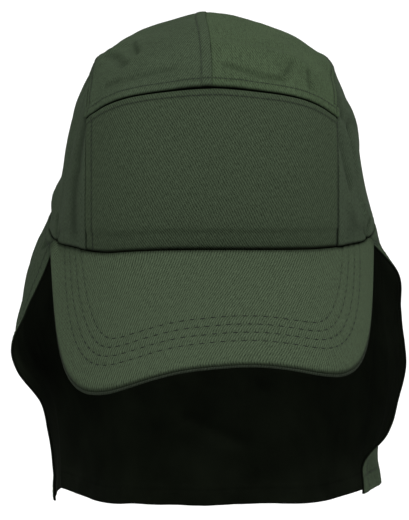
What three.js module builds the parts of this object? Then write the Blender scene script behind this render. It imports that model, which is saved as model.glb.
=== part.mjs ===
// A sun cap with a stiff curved peak and a neck flap: five sewn crown panels, the peak's two covers,
// an inside band and the flap. Millimetres, +Z up. The wearer faces -Y, so the wearer's left is +X.
// The origin is the centre of the head opening, level with the rim at the sides.
import * as THREE from "three";

// Cloth and seams
const crownCloth = 1.4;
const flapCloth = 1.3;
const bandCloth = 1.6;
const peakTopCover = 1.7;
const peakUnderCover = 1.2;
const coverGap = 0.8; // between the two covers
const steepestPeak = 1.7; // the most that the covers' depth grows by where the peak is steep
const seamGap = 0.3;
const bandGap = 0.8;
const peakGap = 0.7; // below the rim

// Crown, over the outside of the cloth
const crownWidth = 160;
const crownFront = 99;
const crownBack = 93;
const crownHeight = 105;
const crownSquareness = 2.8; // 2 makes an ellipsoid, more makes it boxier
const sideFlare = 7.5; // how far the side panels kick out at the rim
const backFlare = 4;
const flareHeight = 42;
const frontArch = 5; // how far the rim rises over the middle of the peak
const frontTuck = 2.2; // how far the front panel's foot is pulled in at the peak seam
const tuckHeight = 17;
const ridgeHeight = 5.5; // the centre seam stands up along the top
const ridgeWidth = 22;
const ridgeLean = 3.5; // and leans to the wearer's right at the top

// The rim's height as shares of frontArch, on the wearer's right and left. "forward" is a share of
// crownFront. The rim hangs lowest at the ends of the peak.
const rimLevels = [
  { forward: -0.1, right: 0, left: 0 },
  { forward: 0.37, right: -0.82, left: -0.54 },
  { forward: 0.62, right: -0.32, left: -0.02 },
  { forward: 0.85, right: 0.04, left: 0.48 },
  { forward: 0.95, right: 0.62, left: 0.8 },
  { forward: 1, right: 1, left: 1 },
];

// Seams of the crown, measured in from its widest and down from its top
const sideSeamInAtFront = 15;
const sideSeamInAtTop = 17;
const sideSeamInAtBack = 30;
const topSeamBelowTop = 23;
const topSeamCornerTurn = 2.8; // degrees that the top seam's ends lie further over the crown
const backCornerTurn = 50; // degrees up from the nape where the side seam leaves the top

// Peak
const peakLength = 69; // along its middle
const peakSlope = 40; // degrees down from level along its middle
const peakEndBack = 62; // from the front of the crown back to the peak's ends
const peakTip = 3; // how far the ends stand out from the rim
const peakEndBelow = 2.4; // how far the ends lie under the rim
const peakCrown = 1.6; // how far it bellies up between its two edges
const peakSquareness = 3.75;
const peakTaper = 0.115; // share of its width that is lost towards the front
const peakBendRight = 2.55; // 2 bends it to a parabola, more keeps its middle flatter
const peakBendLeft = 2.85;
const peakTwist = 8; // the wearer's right front corner hangs lower by this, the left one higher
const peakShift = 2; // how far the front edge sits to the wearer's left

// Inside band
const bandHeight = 28;
const bandBelowRim = 3;

// Neck flap
const flapDropBack = 192.5;
const flapDropRight = 143.5; // at the front edge on the wearer's right, and on the left
const flapDropLeft = 141;
const flapHemRise = 0.8; // share of the way from an edge to the nape over which the hem falls
const flapBehindPeak = 1.2; // from the peak's ends back to the flap's front edges
const flapFlare = 26; // the unit of the columns below

// How far the flap stands out from the rim, as shares of flapFlare, level by level. "down" is the
// share of its drop. A column is a line down the flap: the middle of the back, then for the wearer's
// right and left the side, the part behind the front edge, and the front edge itself.
const flapLevels = [
  { down: 0.0, back: 0.0, sideR: 0.0, frontR: 0.0, edgeR: 0.0, sideL: 0.0, frontL: 0.0, edgeL: 0.0 },
  { down: 0.13, back: 0.1, sideR: 0.36, frontR: 0.36, edgeR: 0.2, sideL: 0.1, frontL: 0.2, edgeL: 0.56 },
  { down: 0.27, back: 0.16, sideR: 0.48, frontR: 0.56, edgeR: 0.44, sideL: 0.18, frontL: 0.28, edgeL: 0.64 },
  { down: 0.4, back: 0.2, sideR: 0.5, frontR: 0.68, edgeR: 0.88, sideL: 0.24, frontL: 0.38, edgeL: 0.74 },
  { down: 0.5, back: 0.2, sideR: 0.34, frontR: 0.56, edgeR: 0.78, sideL: 0.28, frontL: 0.46, edgeL: 0.76 },
  { down: 0.62, back: 0.16, sideR: 0.06, frontR: 0.14, edgeR: 0.32, sideL: 0.24, frontL: 0.42, edgeL: 0.65 },
  { down: 0.75, back: 0.08, sideR: -0.12, frontR: -0.04, edgeR: 0.17, sideL: 0.14, frontL: 0.3, edgeL: 0.46 },
  { down: 0.88, back: 0.0, sideR: -0.2, frontR: -0.08, edgeR: 0.12, sideL: 0.0, frontL: 0.1, edgeL: -0.04 },
  { down: 1.0, back: -0.06, sideR: -0.22, frontR: -0.08, edgeR: 0.1, sideL: 0.0, frontL: 0.2, edgeL: -0.06 },
];
// Where those columns stand: 0 is the middle of the back, 1 is the front edge.
const flapColumns = { back: 0, side: 0.58, front: 0.88, edge: 1 };

// Upright folds of the flap: "at" and "width" run from the back (0) to the wearer's left (1) or right
// (-1) edge, "stands" is a share of flapFlare, and "from" is where down the flap the fold begins.
const flapFolds = [
  { at: -0.74, width: 0.07, stands: 0.16, from: 0.1 },
  { at: -0.5, width: 0.09, stands: -0.14, from: 0.2 },
  { at: -0.27, width: 0.08, stands: 0.17, from: 0.1 },
  { at: -0.02, width: 0.1, stands: -0.15, from: 0.15 },
  { at: 0.22, width: 0.08, stands: 0.16, from: 0.1 },
  { at: 0.47, width: 0.09, stands: -0.16, from: 0.2 },
  { at: 0.72, width: 0.07, stands: 0.14, from: 0.1 },
];

// Creases and bumps of the crown. Each runs from one place to another, given as shares of the half
// width, the front or back reach and the height. "width" and "stands" are shares of creaseUnit.
const creaseUnit = 10;
const crownCreases = [
  { from: [-0.7, -0.2, 0.84], to: [-0.74, 0.15, 0.8], width: 0.7, stands: 0.2 },
  { from: [-0.5, -0.3, 0.98], to: [-0.42, 0.1, 1.0], width: 0.8, stands: -0.12 },
  { from: [0.1, -0.58, 0.88], to: [0.55, -0.5, 0.83], width: 0.5, stands: -0.12 },
  { from: [0.62, -0.42, 0.83], to: [0.55, -0.1, 0.95], width: 0.45, stands: -0.1 },
  { from: [0.92, -0.3, 0.66], to: [0.98, 0.1, 0.4], width: 0.8, stands: 0.16 },
  { from: [0.9, -0.42, 0.5], to: [0.93, -0.44, 0.1], width: 0.6, stands: -0.14 },
  { from: [-0.92, -0.42, 0.56], to: [-0.95, -0.36, 0.1], width: 0.6, stands: -0.14 },
  { from: [-0.97, -0.05, 0.5], to: [-1.02, 0.1, 0.22], width: 0.8, stands: -0.3 },
  { from: [-1.0, -0.1, 0.12], to: [-1.0, 0.25, 0.1], width: 0.8, stands: 0.5 },
  { from: [-0.46, 0.1, 0.95], to: [-0.14, 0.15, 1.0], width: 1.7, stands: -0.22 },
  { from: [0.76, -0.1, 0.82], to: [0.78, 0.25, 0.78], width: 0.7, stands: 0.2 },
  { from: [-0.99, 0.35, 0.3], to: [-0.86, 0.55, 0.6], width: 0.9, stands: 0.14 },
  { from: [0.99, 0.4, 0.3], to: [0.84, 0.6, 0.6], width: 0.9, stands: -0.14 },
  { from: [-0.3, 0.92, 0.2], to: [0.2, 0.96, 0.32], width: 0.8, stands: -0.12 },
];

// Steps of the meshes. Panels that share a seam share its steps.
const stepsAcross = 8;
const stepsUp = 11;
const stepsOver = 15;
const stepsPeakAcross = 28;
const stepsPeakOut = 7;
const stepsFlapRound = 52;
const stepsFlapDown = 18;
const stepsBand = 72;
const stepsBandUp = 4;

// Colours
const drill = { color: 0x45503f, roughness: 0.9, metalness: 0 };
const peakDrill = { color: 0x4c5845, roughness: 0.88, metalness: 0 };
const underDrill = { color: 0x2b312a, roughness: 0.9, metalness: 0 };
const bandTwill = { color: 0x23281f, roughness: 0.95, metalness: 0 };

const { smoothstep, lerp, clamp, degToRad } = THREE.MathUtils;

// Length of (x, y, z) by the rounded-box norm that gives the crown its sections.
function roundedLength(x, y, z) {
  const power = crownSquareness;
  return (Math.abs(x) ** power + Math.abs(y) ** power + Math.abs(z) ** power) ** (1 / power);
}

// A curve through the points (xs[i], ys[i]), read at x.
function through(xs, ys, x) {
  const last = xs.length - 1;
  let i = 0;
  while (i < last - 1 && x > xs[i + 1]) i++;
  const slope = (a, b) => (ys[b] - ys[a]) / (xs[b] - xs[a]);
  const span = xs[i + 1] - xs[i];
  const t = (x - xs[i]) / span;
  const before = slope(Math.max(i - 1, 0), i + 1) * span;
  const after = slope(i, Math.min(i + 2, last)) * span;
  const cubic = (2 * t ** 3 - 3 * t ** 2 + 1) * ys[i] + (3 * t ** 2 - 2 * t ** 3) * ys[i + 1];
  return cubic + (t ** 3 - 2 * t ** 2 + t) * before + (t ** 3 - t ** 2) * after;
}

// Distance from a point to the stretch between two others.
function distanceToStretch(point, from, to) {
  return new THREE.Line3(from, to).closestPointToPoint(point, true, new THREE.Vector3()).distanceTo(point);
}

// A bell that is 1 at no distance and falls off over the width.
function bell(distance, width) {
  return Math.exp(-((distance / width) ** 2));
}

// A place on the crown before it is shaped, from shares of its half width, reach and height.
function placeOf(share) {
  const reach = share.y < 0 ? crownFront : crownBack;
  return new THREE.Vector3((share.x * crownWidth) / 2, share.y * reach, share.z * crownHeight);
}

// How far the rim rises at a place forward, on the side where x lies.
function rimRise(x, forward) {
  const places = rimLevels.map((level) => level.forward);
  const heights = rimLevels.map((level) => (x < 0 ? level.right : level.left));
  return frontArch * through(places, heights, clamp(forward, places[0], 1));
}

// A point of the crown's outside and the outward direction there. Only the way that "direction"
// points counts, and its parts are shares of the half width, the reach and the height.
function crownAt(direction) {
  const share = direction.clone().divideScalar(roundedLength(direction.x, direction.y, direction.z));
  const point = placeOf(share);
  const steep = (part) => Math.sign(part) * Math.abs(part) ** (crownSquareness - 1);
  const reach = share.y < 0 ? crownFront : crownBack;
  const outward = new THREE.Vector3(
    steep(share.x) / (crownWidth / 2),
    steep(share.y) / reach,
    steep(share.z) / crownHeight,
  ).normalize();

  const crease = crownCreases.reduce((sum, { from, to, width, stands }) => {
    const ends = [from, to].map((end) => placeOf(new THREE.Vector3(...end)));
    return sum + stands * creaseUnit * bell(distanceToStretch(point, ...ends), width * creaseUnit);
  }, 0);
  const low = Math.max(0, 1 - point.z / flareHeight) ** 2;
  const foot = Math.max(0, 1 - point.z / tuckHeight) ** 2;
  const forward = -point.y / crownFront;
  const high = point.z / crownHeight;
  const aside = (point.x * sideFlare * low * smoothstep(-forward, -0.7, -0.1)) / (crownWidth / 2);
  const behind = backFlare * low * smoothstep(point.y / crownBack, 0, 1);
  const tucked = frontTuck * foot * smoothstep(forward, 0.5, 0.9);
  const arched = rimRise(point.x, forward) * (1 - high) ** 2;
  const ridge = ridgeHeight * bell(point.x, ridgeWidth) * high ** 3;
  point.addScaledVector(outward, crease * (1 - low));
  const lean = ridgeLean * high ** 6 * (1 - Math.abs(share.x)) * smoothstep(-forward, -0.9, 0);
  point.add(new THREE.Vector3(aside - lean, behind + tucked, arched + ridge));
  return { point, outward };
}

// The direction of a place on the crown's middle band: "share" is its share of the half width, and
// the angle runs from the peak (0) over the top (PI / 2) to the nape (PI).
function bandDirection(share, angle) {
  const left = (1 - Math.abs(share) ** crownSquareness) ** (1 / crownSquareness);
  const scale = left / roundedLength(Math.cos(angle), Math.sin(angle), 0);
  return new THREE.Vector3(share, -Math.cos(angle) * scale, Math.sin(angle) * scale);
}

// The direction of a place on the rim: 0 is the front, PI is the back, and more than 0 is +X.
function rimDirection(angle) {
  return new THREE.Vector3(Math.sin(angle), -Math.cos(angle), 0);
}

// The side seam's share of the half width, along its run from peak to nape.
function sideSeam(angle) {
  const ways = [sideSeamInAtFront, sideSeamInAtTop, sideSeamInAtBack];
  return 1 - through([0, Math.PI / 2, Math.PI], ways, angle) / (crownWidth / 2);
}

// The angle of the seam over the front panel, from its middle (0) to its corner (1).
function topSeam(out) {
  const height = 1 - topSeamBelowTop / crownHeight;
  const forward = (1 - height ** crownSquareness) ** (1 / crownSquareness);
  return Math.atan2(height, forward) + degToRad(topSeamCornerTurn) * out ** 2;
}

// The rim's angle at a distance back from the front of the crown.
function rimAngleAt(back) {
  const forward = 1 - back / crownFront;
  return Math.atan2((1 - Math.abs(forward) ** crownSquareness) ** (1 / crownSquareness), forward);
}

const backCorner = Math.PI - degToRad(backCornerTurn);
const peakEndAngle = rimAngleAt(peakEndBack);
const flapEdgeAngle = rimAngleAt(peakEndBack + flapBehindPeak);

// Both faces of the crown's cloth at a direction.
function crownFaces(direction) {
  const { point, outward } = crownAt(direction);
  return { outer: point, inner: point.clone().addScaledVector(outward, -crownCloth) };
}

// The front panel. u runs from the wearer's right seam to the left one, and v up from the peak.
function frontPanelAt(u, v) {
  const out = 2 * u - 1;
  const angle = v * topSeam(Math.abs(out));
  return crownFaces(bandDirection(out * sideSeam(angle), angle));
}

// "side" is 1 for the wearer's left and -1 for the right. v runs from the front seam to the nape,
// with as many steps along the side panel's top as that panel has.
function topPanelAt(side) {
  const overShare = stepsOver / (stepsOver + stepsUp);
  return (u, v) => {
    const over = lerp(topSeam(u), backCorner, v / overShare);
    const nape = lerp(backCorner, Math.PI, (v - overShare) / (1 - overShare));
    const angle = v <= overShare ? over : nape;
    return crownFaces(bandDirection(side * u * sideSeam(angle), angle));
  };
}

// A side panel fills the space between the rim and the side seam, which makes its other three edges.
function sidePanelAt(side) {
  const seam = (angle) => bandDirection(side * sideSeam(angle), angle);
  const footAngle = (direction) => Math.atan2(Math.abs(direction.x), -direction.y);
  const frontFoot = footAngle(seam(0));
  const backFoot = footAngle(seam(Math.PI));
  const corner = topSeam(1);
  const unit = (direction) => direction.divideScalar(roundedLength(direction.x, direction.y, direction.z));
  const rim = (u) => unit(rimDirection(side * lerp(frontFoot, backFoot, u)));
  const over = (u) => seam(lerp(corner, backCorner, u));
  const front = (v) => seam(v * corner);
  const back = (v) => seam(lerp(Math.PI, backCorner, v));
  return (u, v) => {
    const upDown = rim(u).lerp(over(u), v);
    const frontBack = front(v).lerp(back(v), u);
    const corners = rim(0).lerp(rim(1), u).lerp(over(0).lerp(over(1), u), v);
    return crownFaces(upDown.add(frontBack).sub(corners));
  };
}

// A point of the peak's upper side. u runs from the wearer's right end to the left one, and v from
// the crown out to the front edge.
function peakTopAt(u, v) {
  const turn = (u - 0.5) * 2;
  const { point: rim, outward } = crownAt(rimDirection(turn * peakEndAngle));
  const start = rim.clone().addScaledVector(outward, -crownCloth);
  const middle = crownAt(rimDirection(0)).point;
  const ends = [-1, 1].map((side) => crownAt(rimDirection(side * peakEndAngle)).point);
  const end = ends[1];
  const slope = Math.tan(degToRad(peakSlope));
  const endX = end.x + peakTip;
  const endSags = ends.map((place) => middle.z - place.z + (end.y - middle.y) * slope + peakEndBelow);
  const frontReach = end.y - middle.y + peakLength * Math.cos(degToRad(peakSlope));
  const around = (turn * Math.PI) / 2;
  const rounded = (part) => Math.sign(part) * Math.abs(part) ** (2 / peakSquareness);
  const edgeForward = rounded(Math.max(0, Math.cos(around)));
  const edgeX = endX * rounded(Math.sin(around)) * (1 - peakTaper * edgeForward) + peakShift * edgeForward;
  const edgeY = end.y - frontReach * edgeForward;
  const x = lerp(start.x, edgeX, v);
  const y = lerp(start.y, edgeY, v);
  const sagAt = (px) =>
    px < 0 ? endSags[0] * (-px / endX) ** peakBendRight : endSags[1] * (px / endX) ** peakBendLeft;
  const field = (px, py) => middle.z - (middle.y - py) * slope - sagAt(px);
  const seat = rim.z - peakGap - field(start.x, start.y);
  const belly = peakCrown * 4 * v * (1 - v) * Math.cos(around);
  const twist = (peakTwist * edgeForward * v * edgeX) / endX;
  return new THREE.Vector3(x, y, field(x, y) + seat * (1 - v) ** 2 + belly + twist);
}

// The outward direction of a surface at (u, v), found from points a little to each side.
function outwardOf(surface, u, v, reference) {
  const step = 1e-3;
  const low = (t) => Math.max(0, t - step);
  const high = (t) => Math.min(1, t + step);
  const along = surface(high(u), v).sub(surface(low(u), v));
  const down = surface(u, high(v)).sub(surface(u, low(v)));
  const outward = along.cross(down).normalize();
  return outward.dot(reference) < 0 ? outward.negate() : outward;
}

// One cover of the peak, between two depths under its upper side. Its edges are cut upright, so the
// depths are measured straight down, with more where the peak is steep.
function peakCoverAt(depthOver, depthUnder) {
  const up = new THREE.Vector3(0, 0, 1);
  return (u, v) => {
    const top = peakTopAt(u, v);
    const square = outwardOf(peakTopAt, u, Math.max(v, 0.02), up);
    const steep = Math.min(1 / square.z, steepestPeak);
    return {
      outer: top.clone().addScaledVector(up, -depthOver * steep),
      inner: top.clone().addScaledVector(up, -depthUnder * steep),
    };
  };
}

// How far the flap stands out at a place along the rim (-1 to 1) and down its drop (0 to 1).
function flapStandsOut(along, down) {
  const hand = along < 0 ? "R" : "L";
  const levels = flapLevels.map((level) => level.down);
  const column = (name) => through(levels, flapLevels.map((level) => level[name]), down);
  const names = ["back", "side" + hand, "front" + hand, "edge" + hand];
  const places = [flapColumns.back, flapColumns.side, flapColumns.front, flapColumns.edge];
  const stands = names.map(column);
  const drape = through([-places[1], ...places], [stands[1], ...stands], Math.abs(along));
  const folds = flapFolds.reduce((sum, fold) => {
    return sum + fold.stands * bell(along - fold.at, fold.width) * smoothstep(down, fold.from, 1);
  }, 0);
  return flapFlare * (drape + folds);
}

// The place on the rim that the flap hangs from. "along" runs from the wearer's right edge (-1)
// round the back (0) to the left one (1).
function flapRim(along) {
  const angle = lerp(Math.PI, flapEdgeAngle, Math.abs(along));
  return crownAt(rimDirection(along < 0 ? -angle : angle));
}

// A point of the flap's outside. u runs as "along" does, from 0 to 1, and v from the rim to the hem.
function flapOutsideAt(u, v) {
  const along = 2 * u - 1;
  const { point, outward } = flapRim(along);
  const edgeDrop = along < 0 ? flapDropRight : flapDropLeft;
  const drop = lerp(edgeDrop, flapDropBack, smoothstep(1 - Math.abs(along), 0, flapHemRise));
  const hanging = point.addScaledVector(outward, flapStandsOut(along, v));
  hanging.z -= v * drop;
  return hanging;
}

// Both faces of the flap.
function flapAt(u, v) {
  const outer = flapOutsideAt(u, v);
  const square = outwardOf(flapOutsideAt, u, v, flapRim(2 * u - 1).outward);
  return { outer, inner: outer.clone().addScaledVector(square, -flapCloth) };
}

// Moves both faces of an edge place towards its neighbour by half a seam gap.
function drawIn(place, neighbour) {
  const way = neighbour.outer.clone().sub(place.outer).setLength(seamGap / 2);
  place.outer.add(way);
  place.inner.add(way);
}

// A named mesh of one cloth finish.
function meshOf(name, geometry, finish) {
  geometry.computeVertexNormals();
  const mesh = new THREE.Mesh(geometry, new THREE.MeshStandardMaterial(finish));
  mesh.name = name;
  return mesh;
}

// A flat slab bent to where place(u, v) puts its two faces, with every edge drawn in for the seam.
function layCloth(name, finish, stepsU, stepsV, place) {
  const rows = Array.from({ length: stepsV + 1 }, (_, j) =>
    Array.from({ length: stepsU + 1 }, (_, i) => place(i / stepsU, j / stepsV)),
  );
  for (const row of rows) {
    drawIn(row[0], row[1]);
    drawIn(row[stepsU], row[stepsU - 1]);
  }
  for (let i = 0; i <= stepsU; i++) {
    drawIn(rows[0][i], rows[1][i]);
    drawIn(rows[stepsV][i], rows[stepsV - 1][i]);
  }
  const middle = rows[Math.floor(stepsV / 2)][Math.floor(stepsU / 2)];
  const nextU = rows[Math.floor(stepsV / 2)][Math.floor(stepsU / 2) + 1];
  const nextV = rows[Math.floor(stepsV / 2) + 1][Math.floor(stepsU / 2)];
  const facing = nextU.outer.clone().sub(middle.outer).cross(nextV.outer.clone().sub(middle.outer));
  const turned = facing.dot(middle.outer.clone().sub(middle.inner)) < 0;
  const slab = new THREE.BoxGeometry(1, 1, 1, stepsU, stepsV, 1);
  const position = slab.getAttribute("position");
  for (let i = 0; i < position.count; i++) {
    const across = Math.round((position.getX(i) + 0.5) * stepsU);
    const along = Math.round((position.getY(i) + 0.5) * stepsV);
    const faces = rows[along][turned ? stepsU - across : across];
    const point = position.getZ(i) > 0 ? faces.outer : faces.inner;
    position.setXYZ(i, point.x, point.y, point.z);
  }
  return meshOf(name, slab, finish);
}

// The inside band: a ring turned on a lathe, then laid against the inside of the crown.
function insideBand() {
  const profile = [];
  for (let i = 0; i <= stepsBandUp; i++) profile.push(new THREE.Vector2(1, i));
  for (let i = stepsBandUp; i >= 0; i--) profile.push(new THREE.Vector2(2, i));
  profile.push(profile[0].clone());
  const ring = new THREE.LatheGeometry(profile, stepsBand);
  const position = ring.getAttribute("position");
  for (let i = 0; i < position.count; i++) {
    const angle = Math.atan2(position.getX(i), -position.getZ(i));
    const depth = Math.hypot(position.getX(i), position.getZ(i)) > 1.5 ? 0 : bandCloth;
    const height = lerp(-bandBelowRim, bandHeight - bandBelowRim, position.getY(i) / stepsBandUp);
    const high = Math.max(0, height) / crownHeight;
    const flat = rimDirection(angle).divideScalar(roundedLength(Math.sin(angle), Math.cos(angle), 0));
    flat.multiplyScalar((1 - high ** crownSquareness) ** (1 / crownSquareness));
    const { point, outward } = crownAt(flat.setZ(high));
    point.addScaledVector(outward, -crownCloth - bandGap - depth);
    point.z += Math.min(0, height);
    position.setXYZ(i, point.x, point.y, point.z);
  }
  return meshOf("inside_band", ring, bandTwill);
}

const underTop = peakTopCover + coverGap;
const underFoot = underTop + peakUnderCover;
const cap = new THREE.Group();
cap.add(
  layCloth("front_panel", drill, 2 * stepsAcross, stepsUp, frontPanelAt),
  layCloth("top_panel_left", drill, stepsAcross, stepsOver + stepsUp, topPanelAt(1)),
  layCloth("top_panel_right", drill, stepsAcross, stepsOver + stepsUp, topPanelAt(-1)),
  layCloth("side_panel_left", drill, stepsOver, stepsUp, sidePanelAt(1)),
  layCloth("side_panel_right", drill, stepsOver, stepsUp, sidePanelAt(-1)),
  layCloth("peak_top", peakDrill, stepsPeakAcross, stepsPeakOut, peakCoverAt(0, peakTopCover)),
  layCloth("peak_under", underDrill, stepsPeakAcross, stepsPeakOut, peakCoverAt(underTop, underFoot)),
  layCloth("neck_flap", drill, stepsFlapRound, stepsFlapDown, flapAt),
  insideBand(),
);

export default cap;
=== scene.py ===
"""A bottle-green cotton drill sun cap with a stitched peak and a hanging neck flap, dressed for its portrait."""

import logging
import math
from collections.abc import Callable, Sequence
from dataclasses import dataclass, field
from enum import Enum

import bmesh
import bpy
import numpy as np
from mathutils import Matrix, Vector, noise


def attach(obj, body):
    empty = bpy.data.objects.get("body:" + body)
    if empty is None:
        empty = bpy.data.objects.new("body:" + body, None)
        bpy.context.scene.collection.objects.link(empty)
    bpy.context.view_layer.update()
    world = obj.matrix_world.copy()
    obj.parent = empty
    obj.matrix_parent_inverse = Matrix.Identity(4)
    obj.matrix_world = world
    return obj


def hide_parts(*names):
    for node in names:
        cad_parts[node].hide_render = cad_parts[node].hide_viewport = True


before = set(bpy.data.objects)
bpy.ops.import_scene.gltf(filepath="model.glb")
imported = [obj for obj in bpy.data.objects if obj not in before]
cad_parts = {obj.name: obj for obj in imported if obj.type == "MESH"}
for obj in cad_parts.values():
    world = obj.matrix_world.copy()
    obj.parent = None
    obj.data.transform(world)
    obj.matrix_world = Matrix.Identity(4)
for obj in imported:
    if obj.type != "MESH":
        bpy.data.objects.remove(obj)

MM = 0.001
ROOT = "root"
CLOTH_UV = "cloth"
# Painted shade: the share of light that the materials take from the colour in seams, folds, stitch rows and at
# cut edges.
SEAM_SHADE = "seam_shade"
IMAGE_SIZE = (409, 520)

log = logging.getLogger("cap")


# Small helpers


def smooth_step(value: np.ndarray, low: float, high: float) -> np.ndarray:
    """Ease from 0 at low to 1 at high.

    Args:
        value: What is measured, in any shape.
        low: Where the step begins.
        high: Where it ends.

    Returns:
        The eased share, in the shape of value.
    """
    share = np.clip((value - low) / (high - low), 0.0, 1.0)
    return share * share * (3.0 - 2.0 * share)


def bell(distance: np.ndarray, width: float) -> np.ndarray:
    """Return 1 at no distance, falling off over the width."""
    return np.exp(-((distance / width) ** 2))


def unit(vectors: np.ndarray) -> np.ndarray:
    """Return the vectors at length 1."""
    return vectors / np.maximum(np.linalg.norm(vectors, axis=-1, keepdims=True), 1e-12)


def through(places: Sequence[float], heights: Sequence[float], at: np.ndarray) -> np.ndarray:
    """Read a smooth curve through a few points.

    Args:
        places: Where the points stand, rising.
        heights: The curve's value at each of them.
        at: Where to read it.

    Returns:
        The curve's value, in the shape of at.
    """
    xs, ys = np.asarray(places, float), np.asarray(heights, float)
    last = len(xs) - 1
    i = np.clip(np.searchsorted(xs, at, side="left") - 1, 0, last - 1)
    span = xs[i + 1] - xs[i]
    t = (at - xs[i]) / span
    behind, ahead = np.maximum(i - 1, 0), np.minimum(i + 2, last)
    before = (ys[i + 1] - ys[behind]) / (xs[i + 1] - xs[behind]) * span
    after = (ys[ahead] - ys[i]) / (xs[ahead] - xs[i]) * span
    cubic = (2 * t**3 - 3 * t**2 + 1) * ys[i] + (3 * t**2 - 2 * t**3) * ys[i + 1]
    return cubic + (t**3 - 2 * t**2 + t) * before + (t**3 - t**2) * after


def ripple(points: np.ndarray, grain: Sequence[float], seed: float) -> np.ndarray:
    """Smooth noise from -1 to 1 over a set of places.

    Args:
        points: Places in metres, any shape ending in 3.
        grain: The size of one swell along X, Y and Z, in metres.
        seed: Shifts the noise, so that two pieces differ.

    Returns:
        The noise at each place.
    """
    scaled = (points / np.asarray(grain) + seed).reshape(-1, 3)
    return np.array([noise.noise(Vector(place)) for place in scaled]).reshape(points.shape[:-1])


# Form of the crown


@dataclass(frozen=True)
class Crease:
    """A soft fold or dent of the crown between two places, given as shares of its reach and height."""

    start: tuple[float, float, float]
    end: tuple[float, float, float]
    width: float
    stands: float


@dataclass(frozen=True)
class RimLevel:
    """The rim's height at a share of the front reach, as shares of the arch, for the wearer's two hands."""

    forward: float
    right: float
    left: float


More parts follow.
